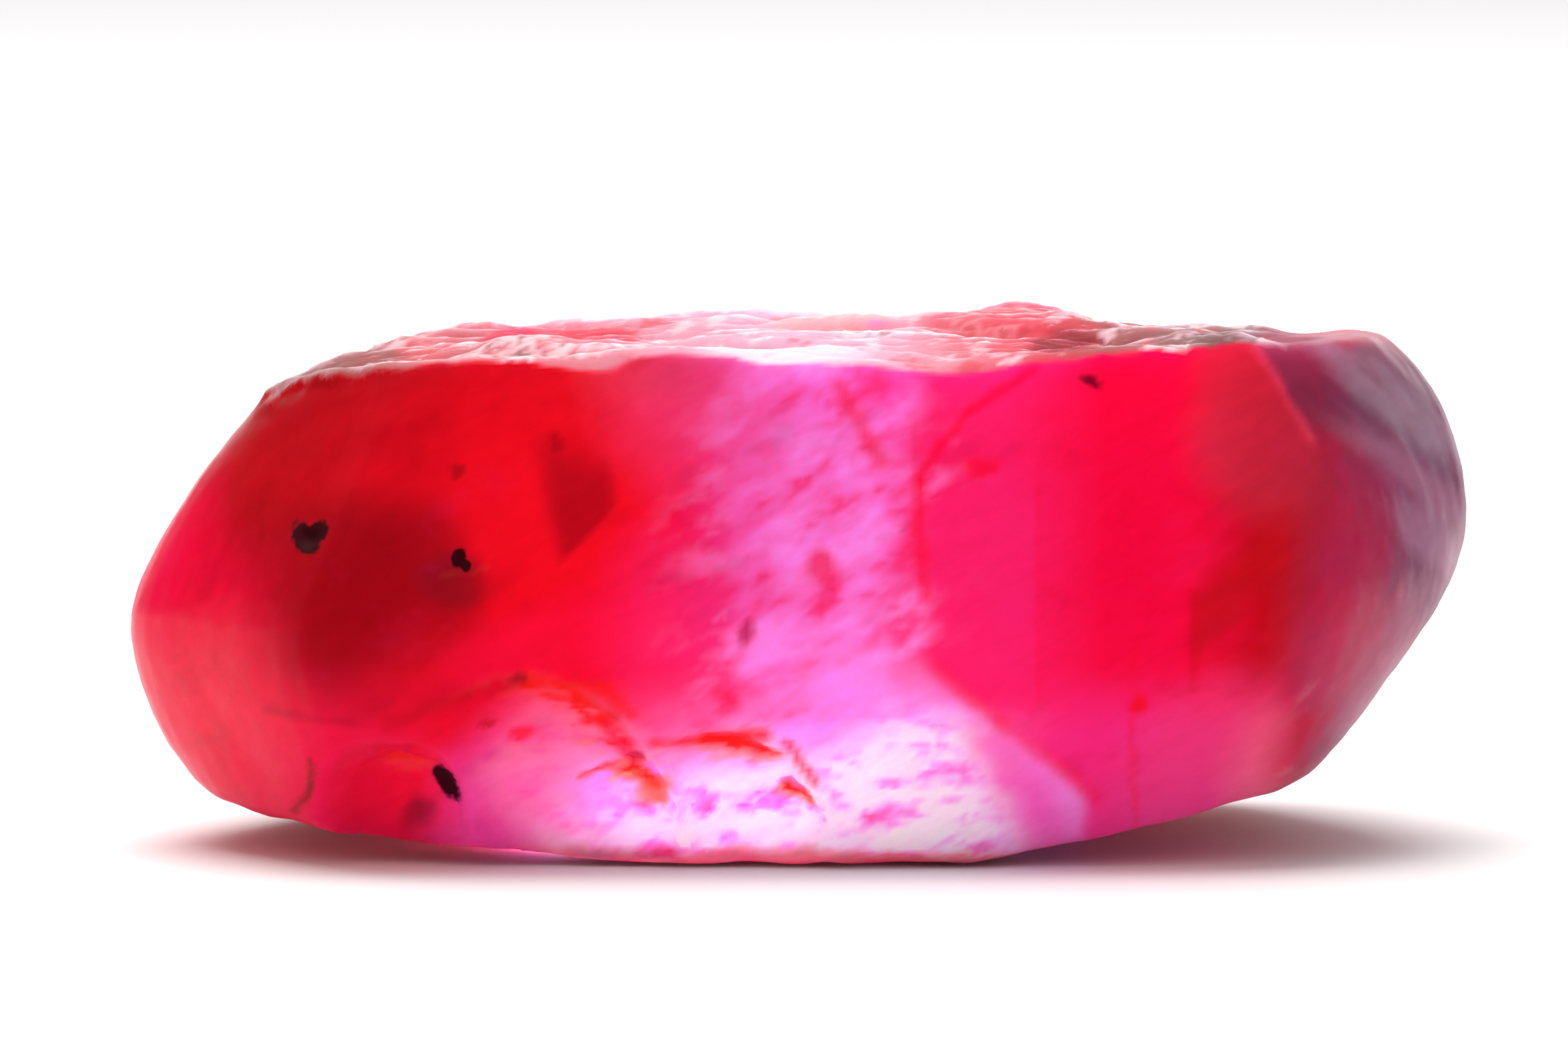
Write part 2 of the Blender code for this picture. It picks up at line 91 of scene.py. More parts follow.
# The ruby: translucent corundum, worn to a silky skin. Its reds change along the crystal in growth zones
# with straight edges, around a cloudy pink middle, over a milky base and under a grey skin at one end; the
# pinks and whites of the middle and base are partly painted glow, and the skin's grey is partly a painted
# sheen.
ruby = {
    "ior": 1.766,
    "mirror": 0.12,  # the silky skin mirrors little, and what it mirrors is red
    "mirrorTint": "#ff2c4c",
    "scatter": (6.0, 4.0, 5.0),  # how far red, green and blue light spread under the skin
    "clear": 0.60,  # transmission of clean ruby, then of its milkiest part
    "milky": 0.12,
    # hazier ruby: centre, half sizes, tilt, softness, how much of the clearness goes
    "hazes": [
        ((-16.8, 0, 3.0), (4.8, 20, 6.5), 0, 1.0, 0.65),
        ((-1.0, -7.5, -1.0), (20.0, 8, 5.4), 0, 0.9, 0.8),
        ((6.6, -4, 8.0), (7.0, 20, 8.5), 0, 1.0, 0.85),
    ],
    "worn": 0.35,  # roughness of the worn sides, then of chips, grey skin and broken top
    "fresh": 0.29,
    "skin": 0.42,
    "broken": 0.7,
    "silkSway": 0.05,  # how much rougher and smoother the worn sides are in places
    "topClear": 0.4,  # share of the clearness that the broken top keeps, then the grey skin
    "skinClear": 0.45,
    "cloudWander": 1.8,  # how far clouds stray from their even shapes, then straight-edged zones
    "zoneWander": 0.315,
    "tremor": 0.7,  # quick wander of rims and flecks, then of veins
    "veinTremor": 0.35,
    "front": -7.0,  # where the front lies, in y
    "veinInward": 0.04,  # how much a step inwards counts beside one across, so that veins run far in
    "sectorFade": 1.5,  # softness of a growth sector's back, to each side
    "fibre": (0.45, 3.0, (0, 0.52, 0), (0.3, 0.5, 1.1)),  # size, detail, turn and squeeze
    "fibreDepth": 0.09,
    "gritSize": 0.25,
    "gritDepth": 0.03,  # in the broken top; the sides have a share of it
    "gritShare": 0.15,
    "tones": {
        "blood": "#a00410",
        "cherry": "#cc0818",
        "ruby": "#fa0a20",
        "raspberry": "#fd0848",
        "rose": "#fe2278",
        "orchid": "#fe62c4",
        "mauve": "#ff9cf4",
        "milk": "#fff0fe",
        # orange-red of the painted shadow under the chips' rims
        "rust": "#fa1c0c",
        "peach": "#f88a70",
        "blush": "#f87898",
        "plum": "#8a3a58",
        "coal": "#1c060a",
    },
    # growth zones along the crystal: the x at which each tone is full
    "zones": [
        (-17.0, "raspberry"), (-15.8, "raspberry"), (-14.2, "cherry"), (-10.6, "blood"),
        (-8.8, "cherry"), (-7.6, "ruby"), (-4.2, "ruby"), (-2.9, "raspberry"), (-2.2, "rose"),
        (-1.4, "orchid"), (2.0, "orchid"), (3.4, "rose"), (5.0, "rose"), (7.6, "raspberry"),
        (9.4, "raspberry"), (11.6, "cherry"), (15.0, "plum"),
    ],
    # soft clouds: centre, half sizes, tilt about Y in degrees, softness, tone, strength
    "clouds": [
        # the deep red left end, with a bright wedge beside it
        ((-11.2, -8, 6.6), (3.4, 12, 2.8), 20, 1.0, "blood", 0.85),
        ((-8.4, -8, 10.8), (4.8, 12, 1.7), 4, 0.9, "ruby", 0.75),
        ((-12.2, -8, 11.2), (1.8, 12, 1.4), 30, 0.9, "blood", 0.5),
        ((-7.3, -8, 7.8), (0.9, 5, 2.8), 16, 1.2, "ruby", 0.9),
        ((-8.7, -8, 7.3), (0.9, 4, 0.6), 8, 0.9, "#7a0e1a", 0.8),
        # the lower left, from red to the pink of the chips
        ((-8.6, -7, 3.4), (2.6, 8, 2.4), 20, 1.0, "ruby", 0.8),
        # a painted brightening where the low left faces down into shade
        ((-12.7, -7, 2.0), (4.4, 8, 2.6), 0, 0.9, "#ff1650", 0.9),
        ((-15.0, -5, 4.6), (2.2, 8, 3.6), 0, 1.0, "#ff0240", 0.8),
        ((-6.2, -7, 5.6), (3.4, 8, 1.2), 20, 0.9, "raspberry", 0.7),
        ((-6.2, -7, 1.7), (2.8, 6, 2.3), 0, 0.7, "rose", 0.8),
        ((-6.4, -7, 1.6), (2.5, 6, 2.2), 10, 0.8, "#fc50bc", 0.85),
        # the pink middle, partly painted glow
        ((-2.9, -8, 5.4), (1.7, 10, 2.8), 20, 0.9, "rose", 0.8),
        ((-2.8, -8, 12.4), (1.9, 4, 0.8), 0, 1.4, "blush", 0.4),
        ((0.2, -4, 1.2), (6.4, 12, 3.4), 0, 0.8, "mauve", 0.9),
        ((0.9, -8, 8.0), (1.8, 14, 5.4), 10, 0.9, "mauve", 0.35),
        ((2.7, -8, 5.7), (0.7, 8, 1.5), 15, 1.0, "#fd2c80", 0.7),
        # the lower right, then the tops of the right end and of the middle
        ((7.8, -7, 1.9), (3.6, 8, 2.4), 0, 0.9, "#ff2c90", 0.95),
        ((11.0, -6, 2.2), (3.2, 8, 2.2), 20, 0.9, "#ff4490", 0.85),
        ((12.5, -6, 2.2), (1.6, 8, 1.8), 20, 0.9, "#f4708c", 0.7),
        ((11.6, -7, 11.0), (1.6, 6, 2.2), 20, 0.9, "#d83454", 0.6),
        ((-2.7, -8, 11.5), (1.7, 8, 1.5), 20, 1.5, "#ff5098", 0.6),
    ],
    # growth sectors with straight edges: corners (x, z, softness of the edge that starts there) going
    # clockwise as seen from the front, then how far back it reaches, tone and strength
    "sectors": [
        ([(-6.5, 10.8, 1.4), (-4.7, 10.2, 0.5), (-4.6, 9.2, 0.15), (-5.95, 7.8, 0.6), (-6.35, 9.0, 1.0)],
         -3.0, "blood", 0.8),
        ([(9.8, 6.9, 0.8), (12.3, 9.4, 1.2), (12.6, 7.4, 0.9), (10.7, 5.9, 0.9), (9.8, 4.8, 0.5)],
         -2.0, "#d0101c", 0.8),
        ([(3.1, 13.4, 1.2), (6.1, 13.4, 0.3), (3.6, 10.8, 0.2), (2.9, 9.9, 0.8)], 6.0, "rose", 0.6),
        ([(3.3, 9.4, 1.4), (5.88, 9.4, 0.1), (5.88, 4.0, 1.4), (3.3, 4.0, 0.9)], 6.0, "rose", 0.9),
        ([(0.4, 5.6, 2.2), (3.4, 5.1, 0.6), (7.2, 1.9, 0.6), (6.9, -0.6, 1.0), (-1.0, -0.6, 2.0)],
         4.0, "mauve", 0.85),
    ],
    # the milky base, whose white is partly its own and partly painted glow from below: clouds (centre, half
    # sizes, tilt, softness, strength) that hold its lumps
    "milkyGlowBase": [
        ((-0.7, -5, 0.4), (5.2, 14, 2.7), 0, 0.7, 1.0),
        ((2.9, -7, 1.8), (2.4, 9, 2.3), 38, 0.6, 1.0),
        ((0.2, -7, 0.5), (5.2, 8, 1.3), 0, 0.9, 1.0),
        ((-5.8, -7, 2.4), (2.0, 6, 1.6), 20, 0.9, 0.22),
    ],
    # the lumps: tone, the noise where it starts and is full, strength
    "curds": [
        ("milk", 0.70, 0.44, 0.95), ("mauve", 0.50, 0.58, 0.5), ("orchid", 0.55, 0.66, 0.5),
        ("rose", 0.64, 0.72, 0.3),
    ],
    # milky and deep threads in the pink middle, laid out as the lumps are, and where that middle is
    "threads": [("mauve", 0.48, 0.66, 1.0), ("rose", 0.51, 0.36, 1.0), ("raspberry", 0.43, 0.27, 1.0)],
    "pinkMiddle": ((0.6, 0, 5.6), (3.5, 30, 9.0), 0, 0.9, 0.75),
    # soft patches of deeper and brighter red, everywhere
    "patches": [("blood", 0.50, 0.30, 0.30), ("rose", 0.56, 0.75, 0.20)],
    # thin veins and growth lines: start and end (x, z), half width, tone, strength
    "strokes": [
        # growth lines in the middle and on the right
        (2.95, 9.9, 3.5, 10.7, 0.26, "raspberry", 0.9),
        (3.5, 10.7, 4.3, 11.5, 0.22, "raspberry", 0.8),
        (4.3, 11.5, 5.9, 12.6, 0.24, "raspberry", 0.8),
        (2.8, 11.4, 2.9, 9.8, 0.20, "cherry", 0.25),
        (2.9, 9.9, 3.15, 7.0, 0.34, "raspberry", 0.85),
        (1.0, 12.2, 2.05, 10.3, 0.34, "ruby", 0.55),
        (1.9, 8.4, 2.8, 8.75, 0.10, "plum", 0.45),
        (5.92, 9.8, 5.95, 4.2, 0.14, "ruby", 0.35),
        (8.35, 5.6, 8.4, 1.0, 0.16, "ruby", 0.4),
        (9.82, 7.0, 9.86, 4.6, 0.26, "cherry", 0.4),
        (4.9, 3.2, 6.6, 0.4, 1.3, "#fd58c4", 0.8),
        (3.4, 5.15, 5.0, 3.8, 0.38, "raspberry", 0.5),
        (5.0, 3.8, 7.4, 1.9, 0.38, "raspberry", 0.5),
        # rims of the chips and hollows; the orange-red ones are painted shadow under the rims
        (-4.9, 3.7, -4.1, 2.7, 0.34, "raspberry", 0.8),
        (-6.2, 4.75, -4.9, 4.7, 0.20, "rust", 0.75),
        (-4.9, 4.7, -4.2, 4.0, 0.28, "rust", 0.8),
        (-5.6, 2.3, -4.5, 2.62, 0.12, "#f83050", 0.8),
        (-4.7, 2.2, -3.9, 2.4, 0.10, "#ffd8b8", 0.8),
        (-3.7, 3.3, -2.2, 3.38, 0.22, "rust", 0.85),
        (-2.2, 3.38, -0.9, 3.48, 0.32, "rust", 0.95),
        (-0.4, 3.3, 0.4, 2.2, 0.20, "rose", 0.9),
        (-10.3, 3.8, -7.0, 4.85, 0.42, "cherry", 0.55),
        # cracks and fine lines at the left end
        (-13.4, 3.95, -11.2, 3.75, 0.22, "#b80c30", 0.5),
        (-12.3, 2.7, -12.25, 2.0, 0.15, "#7a1c18", 0.75),
        (-12.25, 2.0, -12.7, 1.3, 0.17, "#7a1c18", 0.9),
        (-8.9, 7.5, -7.8, 7.65, 0.08, "peach", 0.25),
        (-13.5, 9.4, -13.5, 8.3, 0.12, "blood", 0.5),
    ],
    # small inclusions: centre, half sizes, tilt, softness, tone, strength
    "flecks": [
        ((0.55, -8.6, 7.7), (0.42, 2, 0.5), 15, 0.9, "#f81c60", 0.8),
        ((-1.27, -8.7, 6.1), (0.22, 2, 0.32), -20, 0.9, "#d00c50", 0.9),
        ((-1.9, -8.7, 4.6), (0.26, 2, 0.2), 0, 0.9, "raspberry", 0.6),
        ((4.62, -7.8, 10.2), (0.40, 2, 0.26), 0, 0.9, "raspberry", 0.9),
        ((7.27, -6.8, 12.25), (0.26, 2, 0.15), -30, 0.6, "coal", 0.8),
        ((-8.56, -7.5, 10.1), (0.16, 2, 0.20), 0, 0.9, "blood", 0.8),
        ((-6.1, -7.9, 10.8), (0.18, 2, 0.22), 0, 0.9, "blood", 0.7),
        ((-9.6, -6.4, 1.35), (0.42, 2, 0.36), 40, 1.2, "#901838", 0.6),
        ((8.5, -7.8, 4.2), (0.22, 2, 0.26), 0, 0.9, "ruby", 0.9),
        ((-7.0, -7.8, 4.85), (0.26, 2, 0.16), 0, 0.9, "blood", 0.9),
        ((-3.65, -7.5, 1.95), (0.55, 2, 0.32), 40, 0.9, "#f87858", 0.65),
        ((-4.1, -7.6, 2.85), (0.22, 2, 0.2), 0, 0.9, "#e01048", 0.9),
        # painted shadow under the big chip's rim
        ((-6.1, -7.7, 4.35), (0.34, 2, 0.14), -24, 0.9, "rust", 0.8),
        ((-4.9, -7.7, 3.95), (0.38, 2, 0.17), 20, 0.9, "rust", 0.85),
        ((-5.4, -7.6, 3.25), (0.24, 2, 0.12), 10, 0.9, "peach", 0.6),
        ((-6.9, -7.4, 3.4), (0.3, 2, 0.2), -30, 0.9, "raspberry", 0.8),
        ((-7.8, -7.3, 3.7), (0.22, 2, 0.16), 0, 0.9, "cherry", 0.7),
        ((-1.0, -7.0, 0.0), (12.0, 4, 0.42), 0, 0.9, "#e01c60", 0.7),  # a dark line along the foot
    ],
    # dark mineral grains let into the skin: centre, half sizes, tilt; then what their edges are like
    "grains": [
        ((-12.42, -7.1, 8.32), (0.30, 1.4, 0.43), 24),
        ((-12.06, -6.9, 8.50), (0.24, 1.2, 0.34), -48),
        ((-12.24, -7.0, 8.22), (0.27, 1.4, 0.30), 0),
        ((-8.52, -8.2, 7.94), (0.17, 1.2, 0.25), -20),
        ((-8.36, -8.2, 7.76), (0.14, 1.2, 0.16), 30),
        ((-8.86, -7.0, 2.12), (0.25, 1.6, 0.52), 32),
    ],
    "grainSoftness": 0.4,
    "grainStrength": 0.97,
    "grainWear": 0.25,
    # the broken top, from its left end to the shoulder, and how much it covers what is under it
    "topZones": [
        (-13.2, "#754b45"), (-10.4, "#8d514c"), (-9.0, "#ac6164"), (-6.0, "#bd6872"), (-3.4, "#c78697"),
        (0.0, "#ca97ac"), (2.6, "#ca8a9b"), (4.2, "#bd6872"), (6.2, "#ac3842"), (7.6, "#7c423f"),
        (9.4, "#6b5350"), (12.6, "#645356"),
    ],
    # red lumps, white veins and brown cracks: tone, the noise where it starts and is full, strength; the
    # relief takes a share off that noise
    "topBlotches": [
        ("#b83038", 0.55, 0.63, 0.6), ("#dcc0c4", 0.46, 0.38, 0.7), ("#683f3b", 0.37, 0.31, 0.8),
    ],
    "topReliefShare": -0.25,
    # lumps and a crevice in the broken top, laid like the other clouds
    "topClouds": [
        ((-7.4, 3.0, 13), (0.7, 3.2, 4), 0, 0.8, "#cb1840", 0.8),
        ((-6.1, 1.4, 13), (0.9, 3.0, 4), 0, 0.8, "#d22a40", 0.8),
        ((-4.8, 0.8, 13), (0.7, 2.8, 4), 0, 0.8, "#cb2039", 0.85),
        ((-9.4, 0.5, 13), (0.8, 3.0, 4), 0, 0.8, "#c85058", 0.7),
        ((-0.4, -5.4, 13), (2.2, 1.6, 4), 0, 0.8, "#ecd4e4", 0.6),
        ((0.8, 3.0, 13), (1.6, 3.4, 4), 0, 0.8, "#d89088", 0.6),
        ((5.0, 1.0, 13), (1.8, 5.0, 4), 0, 1.0, "#c43544", 0.7),
        ((6.8, -3.0, 13), (0.9, 3.0, 4), 0, 0.6, "#6e151c", 0.9),
        ((-12.0, -2, 13), (1.8, 5.0, 4), 0, 0.8, "#704b44", 0.7),
        ((10.6, -4.5, 13), (0.7, 2.0, 4), 0, 0.8, "#4c3830", 0.7),
    ],
    "topCover": 0.95,
    # the grey skin of the right end: the corners (x, z) of its edge, going down, and the edge's softness;
    # how much it covers, its tones from its edge outwards, whose greys are partly a painted sheen, and how
    # far the combed lines shift them
    "skinEdge": [(11.3, 13.1, 0.25), (13.4, 9.9, 1.4), (12.2, 4.0, 1.8)],
    "skinCover": 0.94,
    "skinAndSheenZones": [
        (0.50, "#c01c40"), (0.90, "#b02a4e"), (1.12, "#983c5c"), (1.29, "#845070"), (1.48, "#a07a8a"),
        (1.75, "#b8a2a2"),
    ],
    "skinShift": 0.9,
    "skinFray": 0.3,  # how ragged the skin's clouds are
    # pale and dark combed lines, laid out as the lumps are, and a painted highlight along the crease at the
    # skin's edge
    "combLines": [("#e0c4c8", 0.54, 0.74, 0.45), ("#6a2c4c", 0.46, 0.30, 0.35)],
    "skinEdgeHighlight": (11.4, 13.0, 12.9, 10.7, 0.22, "#f84c68", 0.5),
    # clouds in the skin, laid like the others; their pale greys are partly painted sheen
    "skinClouds": [
        ((12.9, -5, 12.2), (2.0, 8, 1.3), -40, 0.9, "#803050", 0.85),
        ((15.0, -4, 10.6), (1.8, 8, 0.7), -40, 1.2, "#725474", 0.5),
        ((15.2, -4, 12.2), (1.6, 8, 0.9), -42, 0.9, "#86707c", 0.6),
        ((15.2, -4, 11.2), (2.6, 8, 0.46), -42, 1.3, "#b09aaa", 0.6),
        ((15.3, -4, 9.7), (2.2, 8, 0.42), -38, 1.3, "#b8809c", 0.6),
        ((14.6, -4, 9.2), (1.6, 8, 0.6), -44, 0.9, "#8c3468", 0.5),
        ((15.9, -4, 8.0), (1.2, 8, 0.5), -50, 0.9, "#b890ac", 0.5),
        ((14.6, -4, 4.6), (1.6, 8, 2.2), 30, 0.9, "#bc6484", 0.6),
        ((12.7, -6, 5.4), (0.9, 8, 1.4), 25, 0.9, "#a83a64", 0.6),
        ((13.8, -5, 7.7), (1.0, 8, 0.8), 0, 0.9, "#a02c60", 0.6),
        ((13.6, -5, 7.4), (1.3, 8, 2.9), 0, 0.9, "#c42450", 0.65),
    ],
}


def cloud(add, place, centre, sizes, tilt, softness, strength, ragged=0.0):
    # strength inside a tilted ellipsoid, fading to 0 around its edge, which ragged moves in or out
    away = add("ShaderNodeVectorMath", place, centre, operation="SUBTRACT")
    turned = add("ShaderNodeVectorRotate", links={"Vector": away, "Angle": math.radians(tilt)},
                 rotation_type="Y_AXIS")
    scaled = add("ShaderNodeVectorMath", turned, sizes, operation="DIVIDE")
    reach = add("ShaderNodeVectorMath", scaled, operation="LENGTH")
    reach = add("ShaderNodeMath", reach, ragged, operation="ADD")
    return add("ShaderNodeMapRange", reach, 1 + softness / 2, 1 - softness / 2, 0.0, strength,
               interpolation_type="SMOOTHSTEP")


def stroke(add, flatPlace, startX, startZ, endX, endZ, width, strength):
    # strength along a straight line, fading to 0 over its half width
    start = Vector((startX, 0, startZ))
    run = Vector((endX, 0, endZ)) - start
    away = add("ShaderNodeVectorMath", flatPlace, start, operation="SUBTRACT")
    along = add("ShaderNodeVectorMath", away, run / run.length_squared, operation="DOT_PRODUCT")
    held = add("ShaderNodeClamp", along)
    nearest = add("ShaderNodeVectorMath", run, operation="SCALE", links={"Scale": held})
    apart = add("ShaderNodeVectorMath", away, nearest, operation="DISTANCE")
    return add("ShaderNodeMapRange", apart, width, 0.0, 0.0, strength, interpolation_type="SMOOTHSTEP")


def withinEdges(add, place, edges, inside):
    # inside, faded out past straight edges: each has a corner (x, z, softness) and the corner after it
    for (x, z, softness), (nextX, nextZ, _) in edges:
        outward = Vector((z - nextZ, 0, nextX - x)).normalized()
        past = add("ShaderNodeVectorMath", place, outward, operation="DOT_PRODUCT")
        edge = outward.x * x + outward.z * z
        side = add("ShaderNodeMapRange", past, edge + softness / 2, edge - softness / 2,
                   interpolation_type="SMOOTHSTEP")
        inside = add("ShaderNodeMath", inside, side, operation="MULTIPLY")
    return inside


def sector(add, place, corners, back, strength):
    # strength inside a prism with straight sides that runs from the front to back
    y = add("ShaderNodeSeparateXYZ", place).outputs["Y"]
    fade = ruby["sectorFade"]
    inside = add("ShaderNodeMapRange", y, back + fade, back - fade, 0.0, strength,
                 interpolation_type="SMOOTHSTEP")
    return withinEdges(add, place, zip(corners, corners[1:] + corners[:1]), inside)


def zoneRamp(add, along, zones):
    # colours that follow each other along a length
    low, high = zones[0][0], zones[-1][0]
    ramp = add("ShaderNodeValToRGB", add("ShaderNodeMapRange", along, low, high))
    stops = ramp.color_ramp.elements
    for index, (at, colour) in enumerate(zones):
        stop = stops[index] if index < 2 else stops.new(1.0)
        stop.position = (at - low) / (high - low)
        stop.color = toLinear(ruby["tones"].get(colour, colour))
    return ramp.outputs["Color"]


def noiseLayers(add, noise, tones, within):
    # a layer of each tone where the noise passes its limits, inside a mask
    layers = []
    for tone, low, high, strength in tones:
        lump = add("ShaderNodeMapRange", noise, low, high, 0.0, strength, interpolation_type="SMOOTHSTEP")
        layers.append((add("ShaderNodeMath", lump, within, operation="MULTIPLY"), tone))
    return layers


def hollowLayers(add, place, blotch):
    # hollows: under each rim a painted shadow of orange-red over a deeper cap of peach, which fade away
    # from it
    layers = []
    dent = 0.0
    for centreX, centreZ, halfX, halfZ, lean, share, peach, depth in surface["hollows"]:
        away = add("ShaderNodeVectorMath", place, (centreX, hollow["y"], centreZ), operation="SUBTRACT")
        scaled = add("ShaderNodeVectorMath", away, (halfX, hollow["halfY"], halfZ), operation="DIVIDE")
        reach = add("ShaderNodeVectorMath", scaled, operation="LENGTH")
        whole = add("ShaderNodeMapRange", reach, *hollow["edge"], interpolation_type="SMOOTHSTEP")
        turn = math.radians(lean)
        leaning = (math.sin(turn), 0, math.cos(turn))
        rise = add("ShaderNodeVectorMath", scaled, leaning, operation="DOT_PRODUCT")
        # the lower edge of the painted shadow, made ragged by the blotch noise
        worn = add("ShaderNodeMath", blotch, hollow["wear"], rise, operation="MULTIPLY_ADD")
        for tone, reachDown, strength in (("peach", hollow["peachReach"] * share, peach),
                                          ("rust", share, hollow["rust"])):
            fades, full = (hollow["rim"] - fall * reachDown for fall in hollow["capEdge"])
            cap = add("ShaderNodeMapRange", worn, fades, full, 0.0, strength,
                      interpolation_type="SMOOTHSTEP")
            layers.append((add("ShaderNodeMath", cap, whole, operation="MULTIPLY"), tone))
        sunk = add("ShaderNodeMapRange", rise, *hollow["slope"], 0.0, depth)
        dent = add("ShaderNodeMath", whole, sunk, dent, operation="MULTIPLY_ADD")
    return layers, dent


def skinLayers(add, place, flatPlace, comb, facing):
    # grey skin: crimson and plum beside the red, then violet and hazy bands, then ash; the greys are partly
    # a painted sheen that grows where the end faces along X
    corners = ruby["skinEdge"]
    inner = withinEdges(add, place, zip(corners, corners[1:]), 1.0)
    skin = add("ShaderNodeMath", 1.0, inner, operation="SUBTRACT")
    # the painted sheen: greyer where the end faces further along X
    bands = add("ShaderNodeMath", comb, ruby["skinShift"], facing, operation="MULTIPLY_ADD")
    cover = add("ShaderNodeMath", skin, ruby["skinCover"], operation="MULTIPLY")
    layers = [(cover, zoneRamp(add, bands, ruby["skinAndSheenZones"]))]
    frayed = add("ShaderNodeMapRange", comb, 0.3, 0.7, ruby["skinFray"], -ruby["skinFray"])
    for *shape, tone, strength in ruby["skinClouds"]:
        over = cloud(add, place, *shape, strength, frayed)
        layers.append((add("ShaderNodeMath", over, skin, operation="MULTIPLY"), tone))
    layers += noiseLayers(add, comb, ruby["combLines"], skin)
    # a painted highlight along the crease at the skin's edge
    *line, tone, strength = ruby["skinEdgeHighlight"]
    layers.append((stroke(add, flatPlace, *line, strength), tone))
    return layers, skin


def topLayers(add, place, along, top, crumb, relief):
    # the broken top: paler, crumbled, with red lumps, white veins and brown cracks
    colour = zoneRamp(add, along, ruby["topZones"])
    mixed = add("ShaderNodeMath", relief, ruby["topReliefShare"], crumb, operation="MULTIPLY_ADD")
    for tone, low, high, strength in ruby["topBlotches"]:
        mask = add("ShaderNodeMapRange", mixed, low, high, 0.0, strength, interpolation_type="SMOOTHSTEP")
        colour = add("ShaderNodeMix", mask, links={6: colour, 7: toLinear(tone)}, data_type="RGBA")
    layers = [(add("ShaderNodeMath", top, ruby["topCover"], operation="MULTIPLY"), colour)]
    for *shape, tone, strength in ruby["topClouds"]:
        lump = cloud(add, place, *shape, strength)
        layers.append((add("ShaderNodeMath", lump, top, operation="MULTIPLY"), tone))
    return layers


def paint(add, place, drifts, noise, top, facing, relief):
    # the crystal's colour, where its grey skin is, and how deep its front hollows are
    drift, tremor = drifts
    wide, near = (add("ShaderNodeVectorMath", drift, (ruby[reach],) * 3, place, operation="MULTIPLY_ADD")
                  for reach in ("cloudWander", "zoneWander"))
    shaky, veined = (add("ShaderNodeVectorMath", tremor, (ruby[reach],) * 3, near, operation="MULTIPLY_ADD")
                     for reach in ("tremor", "veinTremor"))
    inward = ruby["veinInward"]
    flat = add("ShaderNodeVectorMath", veined, (1, inward, 1), (0, -inward * ruby["front"], 0),
               operation="MULTIPLY_ADD")
    along = add("ShaderNodeSeparateXYZ", near).outputs["X"]

    # growth zones, clouds, threads in the pink middle, patches everywhere, growth sectors, and lumps in
    # the milky base, whose whites are partly painted glow
    colour = zoneRamp(add, along, ruby["zones"])
    layers = [(cloud(add, wide, *shape, strength), tone) for *shape, tone, strength in ruby["clouds"]]
    layers += noiseLayers(add, noise["wisp"], ruby["threads"], cloud(add, wide, *ruby["pinkMiddle"]))
    layers += noiseLayers(add, noise["mottle"], ruby["patches"], 1.0)
    layers += [(sector(add, near, *shape, strength), tone) for *shape, tone, strength in ruby["sectors"]]
    # the milky base's lumps: its own pale colour and partly painted glow from below
    for shape in ruby["milkyGlowBase"]:
        layers += noiseLayers(add, noise["blotch"], ruby["curds"], cloud(add, wide, *shape))

    # what lies on the surface
    # the hollows: painted shadows under their rims, and how deep they sink
    hollows, dent = hollowLayers(add, shaky, noise["blotch"])
    layers += hollows
    layers += [(stroke(add, flat, *line, strength), tone) for *line, tone, strength in ruby["strokes"]]
    layers += [(cloud(add, shaky, *shape, strength), tone) for *shape, tone, strength in ruby["flecks"]]
    skins, skin = skinLayers(add, near, flat, noise["comb"], facing)
    layers += skins
    layers += topLayers(add, shaky, along, top, noise["crumb"], relief)

    for mask, tone in layers:
        over = toLinear(ruby["tones"].get(tone, tone)) if isinstance(tone, str) else tone
        colour = add("ShaderNodeMix", mask, links={6: colour, 7: over}, data_type="RGBA")
    return colour, skin, dent


